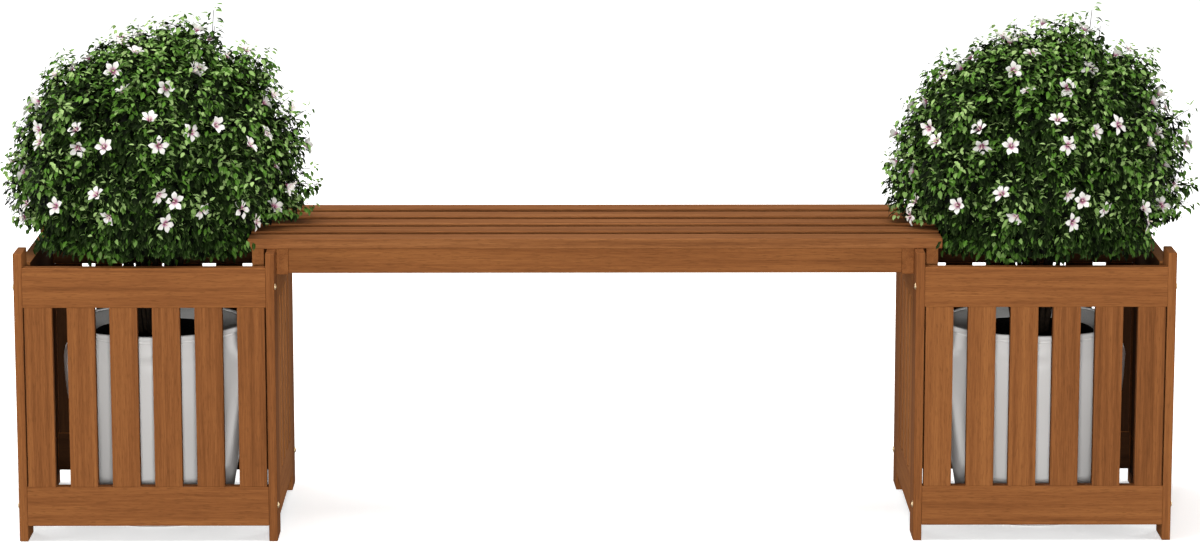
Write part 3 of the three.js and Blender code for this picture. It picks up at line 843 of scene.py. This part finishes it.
def leaves(name, place, along, up, size, tone):
    """Many leaves at once: each point is place + size x (along, across and lift shares of the leaf)."""
    along = unit(along)
    across = unit(np.cross(up, along))
    lift = np.cross(along, across)
    points = place[:, None] + size[:, None, None] * (
        LEAF_ALONG[:, None] * along[:, None]
        + LEAF_ACROSS[:, None] * across[:, None]
        + LEAF_LIFT[:, None] * lift[:, None]
    )
    count, corners = len(place), len(LEAF_ALONG)
    faces = (LEAF_TRIANGLES[None] + corners * np.arange(count)[:, None, None]).reshape(-1, 3)
    shape = np.stack([LEAF_ALONG, LEAF_ACROSS, 0 * LEAF_ALONG], -1)
    attributes = {
        "leaf_place": np.tile(shape, (count, 1)),
        "tone": np.repeat(tone, corners),
    }
    bake_map = own_cells(np.stack([LEAF_ALONG, LEAF_ACROSS + 0.5], -1) * 0.8 + 0.1, count)
    return make_mesh(name, points.reshape(-1, 3), [faces], True, attributes, bake_map)


TWIG_RINGS, TWIG_SIDES = 7, 5
TWIG_TAPER = 0.7
TWIG_HELPER = (0.31, 0.87, 0.38)


def twigs(name, start, bend, end, radius):
    """Many twigs at once: tapered tubes on quadratic curves from start through bend to end."""
    t = np.linspace(0, 1, TWIG_RINGS)[None, :, None]
    path = (1 - t) ** 2 * start[:, None] + 2 * t * (1 - t) * bend[:, None] + t**2 * end[:, None]
    tangent = unit(np.gradient(path, axis=1))[:, :, None]
    disc = round_axis(tangent, TWIG_HELPER, ring_angles(TWIG_SIDES)[:, None])
    thick = radius[:, None, None, None] * (1 - TWIG_TAPER * t[..., None])
    points = path[:, :, None] + thick * disc
    return make_mesh(name, points.reshape(-1, 3), tube_faces(TWIG_RINGS, TWIG_SIDES, len(start)), True)


PETALS = 5
PETAL_ROWS, PETAL_COLUMNS = 7, 5
FLOWER_HELPER = (0.2, 0.1, 1.0)


def flowers(name, place, out, turn, openness):
    """Many five-petalled flowers: each petal is a grid, narrow at its foot, widest at 0.7 and cupped.

    With u along a petal and v across it, its half width is 0.04 + 0.22 x sin(0.93 pi u^1.5)^0.8, and it
    rises by its openness x u, plus a bulge along it and a curl at its sides, less a bend past u = 0.7.
    """
    u, v = np.meshgrid(np.linspace(0, 1, PETAL_ROWS), np.linspace(-1, 1, PETAL_COLUMNS), indexing="ij")
    width = 0.04 + 0.22 * np.sin(math.pi * u**1.5 * 0.93) ** 0.8
    along = 0.05 + 0.95 * u - 0.1 * np.abs(v) ** 3 * u
    count = len(place)
    cup = openness[:, None, None]
    lift = cup * u + 0.28 * u * (1 - u) + 0.12 * v**2 * width - 0.25 * np.maximum(u - 0.7, 0)
    reach = along * (1 - 0.35 * cup)
    spin = ring_angles(PETALS) + random.normal(scale=0.1, size=(count, PETALS))
    c, s = np.cos(spin)[:, :, None], np.sin(spin)[:, :, None]
    reach = reach.reshape(count, 1, -1) * random.uniform(0.9, 1.08, (count, PETALS, 1))
    lift = lift.reshape(count, 1, -1) + random.normal(scale=0.05, size=(count, PETALS, 1))
    across = (v * width).reshape(1, 1, -1)
    local = np.stack([c * reach - s * across, s * reach + c * across, lift + 0 * across], -1)
    out = unit(out)
    first = round_axis(out, FLOWER_HELPER, turn[:, None])
    axes = np.stack([first, np.cross(out, first), out], 1)
    points = place[:, None, None] + FLOWER_RADIUS * np.einsum("nqpk,nkj->nqpj", local, axes)
    petals = PETALS * count
    starts = PETAL_ROWS * PETAL_COLUMNS * np.arange(petals)[:, None, None]
    quads = (grid_faces(PETAL_ROWS, PETAL_COLUMNS, False)[None] + starts).reshape(-1, 4)
    shape = np.stack([u, v, 0 * u], -1).reshape(-1, 3)
    attributes = {"leaf_place": np.tile(shape, (petals, 1))}
    bake_map = own_cells(np.stack([u, v / 2 + 0.5], -1).reshape(-1, 2) * 0.84 + 0.08, petals)
    return make_mesh(name, points.reshape(-1, 3), [quads], True, attributes, bake_map)


# Radius and height of the stamens' column, in flower radii
STAMEN_RINGS = np.array([
    (0.03, -0.1), (0.045, 0.1), (0.035, 0.28), (0.07, 0.4), (0.06, 0.5), (0.015, 0.55),
])
STAMEN_SIDES = 6


def stamens(name, place, out):
    """The pale column at the heart of each flower: a small lathed club along its axis."""
    out = unit(out)[:, None]
    disc = round_axis(out, FLOWER_HELPER, ring_angles(STAMEN_SIDES)[:, None])
    radius, height = FLOWER_RADIUS * STAMEN_RINGS.T[:, :, None, None]
    points = place[:, None, None] + radius * disc[:, None] + height * out[:, None]
    faces = tube_faces(len(STAMEN_RINGS), STAMEN_SIDES, len(place))
    return make_mesh(name, points.reshape(-1, 3), faces, True)


def spray_leaves(tip, axis, count, length, radius):
    """Leaves round spindle-shaped sprays: each spray ends at its tip and runs back along its axis.

    A leaf's light falls with its share back from the tip and rises where it lies on the spray's top.
    """
    owner = np.repeat(np.arange(len(tip)), count)
    back = random.uniform(0, 1, len(owner)) ** 0.85
    around = unit(np.cross(random.normal(size=(len(owner), 3)), axis[owner]))
    spindle = np.sin(math.pi * (0.1 + 0.62 * back))
    girth = radius * spindle * random.uniform(0.4, 1, len(owner)) ** 0.6
    place = tip[owner] - axis[owner] * (back * length)[:, None] + around * girth[:, None]
    along = unit(0.75 * around + 0.3 * axis[owner] - 0.45 * UP + scatter(place, 0.22))
    up = unit(around + 0.5 * axis[owner] + 0.7 * UP + scatter(place, 0.25))
    own = random.normal(scale=0.09, size=len(tip))[owner]
    light = 0.84 - 0.75 * back + 0.34 * around[:, 2] + own + scatter(owner, 0.2)
    size = LEAF_LENGTH * random.uniform(0.7, 1.15, len(owner)) * (0.8 + 0.3 * np.minimum(back * 3, 1))
    return place, along, up, size, light.clip(0, 1)


def spray_plan(flower_place, flower_out):
    """The crown's sprays, the thin sprigs beyond them and the sprays under its flowers.

    Each group holds its tips, its axes and what spray_leaves needs to know of every spray in it.
    """
    out = even_directions(SPRAYS, -0.25)
    out = unit(out + scatter(out, 0.05))
    level = out[:, 2:].clip(0, 1)
    tip = on_crown(out, random.uniform(0.88, 1.01, SPRAYS) + 0.04 * level[:, 0] ** 2)
    axis = unit(out + UP * (0.14 + 0.32 * level) + scatter(out, 0.14))
    thin_out = even_directions(SPRIGS, -0.15)
    thin_out = unit(thin_out + scatter(thin_out, 0.12))
    thin_tip = on_crown(thin_out, random.uniform(1, 1.06, SPRIGS))
    depth = random.normal(scale=30 * MM, size=len(FRONT_SPRIGS))
    front_tip = np.insert(FRONT_SPRIGS, 1, depth, axis=1)
    thin_tip = np.concatenate([thin_tip, front_tip])
    thin_out = np.concatenate([thin_out, unit(front_tip - CROWN_CENTRE)])
    thin_axis = unit(thin_out + 0.35 * UP + scatter(thin_out, 0.16))
    return [
        (tip, axis, *FULL_SPRAY),
        (thin_tip, thin_axis, *THIN_SPRAY),
        (flower_place - flower_out * 5 * MM, flower_out, *FLOWER_SPRAY),
    ]


def mantle_leaves():
    """A closed coat of leaves a little under the crown's skin, hanging outwards and down, in the darkest
    tones as painted shade.
    """
    out = even_directions(MANTLE_LEAVES, -0.26)
    out = unit(out + scatter(out, 0.02))
    place = on_crown(out, random.uniform(0.82, 0.95, MANTLE_LEAVES))
    along = out * 0.6 - 0.7 * UP + scatter(out, 0.35)
    # painted shade: only the darkest tones, as the coat lies under the crown's skin
    tone = random.uniform(0.0, 0.2, MANTLE_LEAVES)
    size = LEAF_LENGTH * random.uniform(1, 1.35, MANTLE_LEAVES)
    return place, along, out + 0.5 * UP, size, tone


def skirt_leaves():
    """Leaves that hang into the box, down to a shallow cone that rises outwards, in dark tones of painted
    shade.

    With a the turn, its foot waves by sin 7a x sin (3a + 1), and the painted shade is deeper where that
    is high and lower down.
    """
    flat = random.uniform(-SKIRT_HALF_WIDTH, SKIRT_HALF_WIDTH, (SKIRT_LEAVES, 2))
    turn = np.arctan2(flat[:, 1], flat[:, 0])
    wave = np.sin(7 * turn) * np.sin(3 * turn + 1)
    foot = SKIRT_FOOT + SKIRT_SLOPE * np.linalg.norm(flat, axis=1) + SKIRT_WAVE * wave
    share = random.uniform(0, 1, SKIRT_LEAVES) ** 0.5
    place = np.column_stack([flat, foot + (SKIRT_TOP - foot) * share])
    level = place * (1, 1, 0) / SKIRT_HALF_WIDTH
    along = level * 0.5 - 0.9 * UP + scatter(level, 0.4)
    # painted shade: dark tones, deeper lower down and where the foot waves high
    tone = (0.6 * random.uniform(0, 1, SKIRT_LEAVES) ** 1.7 + 0.12 * share) * (0.8 - 0.45 * wave)
    size = LEAF_LENGTH * random.uniform(0.8, 1.15, SKIRT_LEAVES)
    return place, along, level + 0.3 * UP, size, tone


def inner_leaves():
    """Large leaves through the crown's inside, near black as painted shade, so that its middle lets no
    light through.
    """
    out = unit(random.normal(size=(INNER_LEAVES, 3)))
    out[:, 2] = np.where(out[:, 2] < -0.28, -out[:, 2], out[:, 2])
    place = on_crown(out, random.uniform(0.3, 0.85, INNER_LEAVES))
    size = LEAF_LENGTH * random.uniform(1.3, 2, INNER_LEAVES)
    return place, scatter(out, 1.0), out, size, random.uniform(0, 0.3, INNER_LEAVES)


def stem_plan():
    """Feet of the stems in the soil, and the forks that they end in, each stem at its own turn."""
    turn = (np.arange(STEMS) + random.uniform(0, 0.6, STEMS)) / STEMS * FULL_TURN
    level = np.column_stack([circle(turn), 0 * turn])
    foot = level * random.uniform(8, 34, STEMS)[:, None] * MM + STEM_FOOT * UP
    fork = level * random.uniform(40, 110, STEMS)[:, None] * MM
    return foot, fork + random.uniform(455, 560, STEMS)[:, None] * MM * UP


def shrub_plan():
    """Leaves, twigs' ends, stems and flowers of one shrub, about the pot's centre on the floor."""
    place, out = flower_places()
    facing = unit(out + scatter(out, 0.36))
    sprays = spray_plan(place, out)
    grown = [spray_leaves(*spray) for spray in sprays]
    stems = stem_plan()
    shown = [*grown, mantle_leaves(), skirt_leaves()]
    return {
        "shown": [np.concatenate(values) for values in zip(*shown)],
        "inner": inner_leaves(),
        "tips": np.concatenate([tip - axis * 0.2 * length for tip, axis, _, length, _ in sprays]),
        "stems": stems,
        "flowers": (place, facing),
    }


SEARCH_BEFORE, SEARCH_BEHIND, SEARCH_STEPS = 300 * MM, 20 * MM, 400


def front_flower_places():
    """Where the camera's rays through the front flowers' places first meet the crown's skin.

    A ray that passes the crown takes the place where it comes nearest to the skin.
    """
    eye = np.array(CAMERA_PLACE) + (BOX_CENTRE, 0, 0)
    target = np.insert(FRONT_FLOWERS, 1, 0, axis=1)
    ray = unit(target - eye)
    near = np.linalg.norm(target - eye, axis=1)
    steps = np.linspace(-SEARCH_BEFORE, SEARCH_BEHIND, SEARCH_STEPS)
    samples = eye + ray[:, None] * (near[:, None] + steps)[..., None] - CROWN_CENTRE
    distance = np.linalg.norm(samples, axis=-1)
    reach = crown_reach(unit(samples).reshape(-1, 3)).reshape(distance.shape)
    hit = (distance < reach).argmax(1)
    hit = np.where((distance < reach).any(1), hit, (distance / reach).argmin(1))
    row = np.arange(len(hit))
    out = unit(samples[row, hit])
    return CROWN_CENTRE + out * np.minimum(distance, reach)[row, hit][:, None], out


def flower_places():
    """Front flowers at their places on the crown's skin, and the rest spread over its other sides."""
    front, front_out = front_flower_places()
    rest = even_directions(REAR_FLOWERS * 2, -0.1)
    rest = rest[(rest[:, 1] > -0.3) | (rest[:, 2] > 0.85)][:REAR_FLOWERS]
    place = np.concatenate([front, on_crown(rest)])
    out = np.concatenate([front_out, rest])
    depth = (4 + 10 * np.abs(out[:, 2]).clip(0, 1)) * MM
    return place - out * depth[:, None], out


def clear_of_wood(place, seat_way):
    """True where a point is clear of the seat, posts and box, and within the shrub's depth."""
    x, y, z = place[:, 0] * seat_way, np.abs(place[:, 1]), place[:, 2]
    over_seat = (x > SEAT_END) & (y < SEAT_HALF_DEPTH)
    inside = (np.abs(x) < NECK_HALF_LENGTH) & (y < NECK_HALF_DEPTH)
    clear = (z > BRIM_BY_SEAT) | (~over_seat & (z > BRIM)) | (inside & ~over_seat & (z > NECK_FOOT))
    return clear & (y < CROWN_HALF_DEPTH)


# Lowest and highest place of the leaves in each piece
LEAF_BANDS = {"low": (0, 500 * MM), "middle": (500 * MM, 590 * MM), "high": (590 * MM, 900 * MM)}


def dress_leaves(label, centre, seat_way, plan, finish):
    """The leaves of one shrub: the near-black ones of painted shade inside it, and the rest in three
    bands.
    """
    shown = plan["shown"]
    level = shown[0][:, 2]
    groups = {"leaves_inner": (plan["inner"], leaf_painted_shade)}
    for band, (low, high) in LEAF_BANDS.items():
        pick = (level >= low) & (level < high)
        groups[f"leaves_{band}"] = ([values[pick] for values in shown], leaf_green)
    for group, (values, material) in groups.items():
        place, along, up, size, tone = values
        tips = place + unit(along) * size[:, None]
        keep = clear_of_wood(place, seat_way) & clear_of_wood(tips, seat_way)
        kept = [v[keep] for v in (place + centre, along, up, size, tone)]
        finish(leaves(f"{label}_{group}", *kept), material)


def dress_twigs(label, centre, seat_way, plan, finish):
    """The stems of one shrub, and a twig from the nearest fork to each spray."""
    tips = plan["tips"][clear_of_wood(plan["tips"], seat_way)]
    foot, fork = plan["stems"]
    bend = fork * (0.3, 0.3, 0) + foot * (0.6, 0.6, 0) + STEM_BEND * UP
    near = np.linalg.norm(tips[:, None] - fork, axis=2).argmin(1)
    start = np.concatenate([foot, fork[near]])
    middle = np.concatenate([bend, 0.5 * (fork[near] + tips) - TWIG_SAG * UP])
    end = np.concatenate([fork, tips])
    thick = np.repeat([STEM_RADIUS, TWIG_RADIUS], [len(foot), len(tips)])
    finish(twigs(f"{label}_twigs", start + centre, middle + centre, end + centre, thick), bark)


def dress_flowers(label, centre, seat_way, plan, finish):
    """The flowers of one shrub that hang clear of the wood, each with its stamens."""
    place, facing = plan["flowers"]
    keep = clear_of_wood(place - 12 * MM * UP, seat_way)
    place, facing = place[keep] + centre, facing[keep]
    turn = random.uniform(0, FULL_TURN, len(place))
    openness = random.uniform(0.12, 0.7, len(place))
    finish(flowers(f"{label}_flowers", place, facing, turn, openness), petal)
    finish(stamens(f"{label}_stamens", place, facing), stamen)


def dress_shrub(label, centre, body, seat_way, plan):
    """Twigs, leaves and flowers of one shrub, which together stand for its CAD solid."""
    def finish(piece, material):
        finish_piece(piece, material, body, "foliage", f"{label}_shrub")

    for dress in (dress_leaves, dress_twigs, dress_flowers):
        dress(label, np.array(centre), seat_way, plan, finish)


# Studio

FLOOR_HALF_WIDTH = 40
FLOOR_GLOW = 0.5
FLOOR_SHADE = 0.95
FLOOR_BOUNCE = 0.15
SHADOW_REACH = 0.95
WHITE_FROM = 2.2
WORLD_LIGHT = 0.14
# Lamps: place, aim, width, height and power in watts
LAMPS = {
    "front_softbox": ((-0.03, -6, 1.05), (0, 0, 0.35), 0.8, 0.8, 244),
    "left_softbox": ((-5, -1.9, 0.6), (0.4, 0, 0.3), 1.4, 1.0, 110),
    "right_softbox": ((5, -1.9, 0.6), (-0.4, 0, 0.3), 1.4, 1.0, 110),
    "top_softbox": ((-0.5, -0.1, 3.6), (0, 0, 0.4), 2.6, 2.6, 118),
    "back_left_softbox": ((-4.2, 3.4, 1.6), (0, 0, 0.4), 1.6, 1.2, 80),
    "back_right_softbox": ((4.2, 3.4, 1.6), (0, 0, 0.4), 1.6, 1.2, 80),
}


def studio_floor():
    """White floor that keeps a soft shadow; camera rays see it brighter, and plain white far away."""
    n = Nodes("studio_floor")
    place = n.add("ShaderNodeTexCoord").outputs["Object"]
    distance = n.add("ShaderNodeVectorMath", {0: place}, operation="LENGTH").outputs["Value"]
    limits = {
        "Value": distance, "From Min": SHADOW_REACH, "From Max": WHITE_FROM,
        "To Min": FLOOR_GLOW, "To Max": 1.0,
    }
    strength = n.add("ShaderNodeMapRange", limits).outputs[0]
    plain = n.add("ShaderNodeBsdfDiffuse", {"Color": (FLOOR_BOUNCE, FLOOR_BOUNCE, FLOOR_BOUNCE, 1)})
    shaded = n.add("ShaderNodeBsdfDiffuse", {"Color": (FLOOR_SHADE, FLOOR_SHADE, FLOOR_SHADE * 0.99, 1)})
    glow = n.add("ShaderNodeEmission", {"Color": WHITE, "Strength": strength})
    both = n.add("ShaderNodeAddShader", {0: shaded.outputs[0], 1: glow.outputs[0]})
    camera_ray = n.add("ShaderNodeLightPath").outputs["Is Camera Ray"]
    choose = n.add("ShaderNodeMixShader", {0: camera_ray, 1: plain.outputs[0], 2: both.outputs[0]})
    n.put(n.tree.nodes["Material Output"].inputs[0], choose.outputs[0])
    points = np.column_stack([QUARTERS * FLOOR_HALF_WIDTH, np.zeros(4)])
    floor = make_mesh("studio_floor", points, [np.array([[0, 1, 2, 3]])])
    floor.data.materials.append(n.owner)


def studio_world():
    """Even pale light from all round; camera rays see plain white."""
    n = Nodes("studio", bpy.data.worlds)
    bpy.context.scene.world = n.owner
    rays = n.add("ShaderNodeLightPath").outputs
    seen = n.math("MAXIMUM", rays["Is Camera Ray"], rays["Is Transmission Ray"])
    limits = {"Value": seen, "To Min": WORLD_LIGHT, "To Max": 1.0}
    sockets = n.tree.nodes["Background"].inputs
    n.put(sockets["Strength"], n.add("ShaderNodeMapRange", limits).outputs[0])
    n.put(sockets["Color"], WHITE)


def softbox(name, place, aim, width, height, power):
    """A flat area lamp of one width and height at place, turned towards aim."""
    lamp = bpy.data.lights.new(name, "AREA")
    lamp.shape = "RECTANGLE"
    lamp.size = width
    lamp.size_y = height
    lamp.energy = power
    holder = bpy.data.objects.new(name, lamp)
    holder.location = place
    holder.rotation_euler = Vector(np.subtract(aim, place)).to_track_quat("-Z", "Y").to_euler()
    bpy.context.scene.collection.objects.link(holder)


def make_camera():
    """The photograph's view, with level and turn set by the solved pitch and yaw."""
    data = bpy.data.cameras.new("camera")
    data.sensor_width = SENSOR_WIDTH
    data.lens = FOCAL_PIXELS / IMAGE_WIDTH * SENSOR_WIDTH
    camera = bpy.data.objects.new("camera", data)
    camera.location = CAMERA_PLACE
    camera.rotation_euler = (math.pi / 2 - CAMERA_PITCH, 0, -CAMERA_YAW)
    bpy.context.scene.collection.objects.link(camera)
    bpy.context.scene.camera = camera


bpy.context.scene.view_settings.view_transform = "Standard"
make_camera()
studio_world()
studio_floor()
for name, settings in LAMPS.items():
    softbox(name, *settings)

dress_boards()
dress_screws()
plan = shrub_plan()
for label, side in SIDES.items():
    centre = (side * BOX_CENTRE, 0, 0)
    body = f"{label}_potted_shrub"
    dress_pot(label, centre, body)
    dress_liner(label, centre, body)
    dress_soil(label, centre, body)
    dress_shrub(label, centre, body, -side, plan)
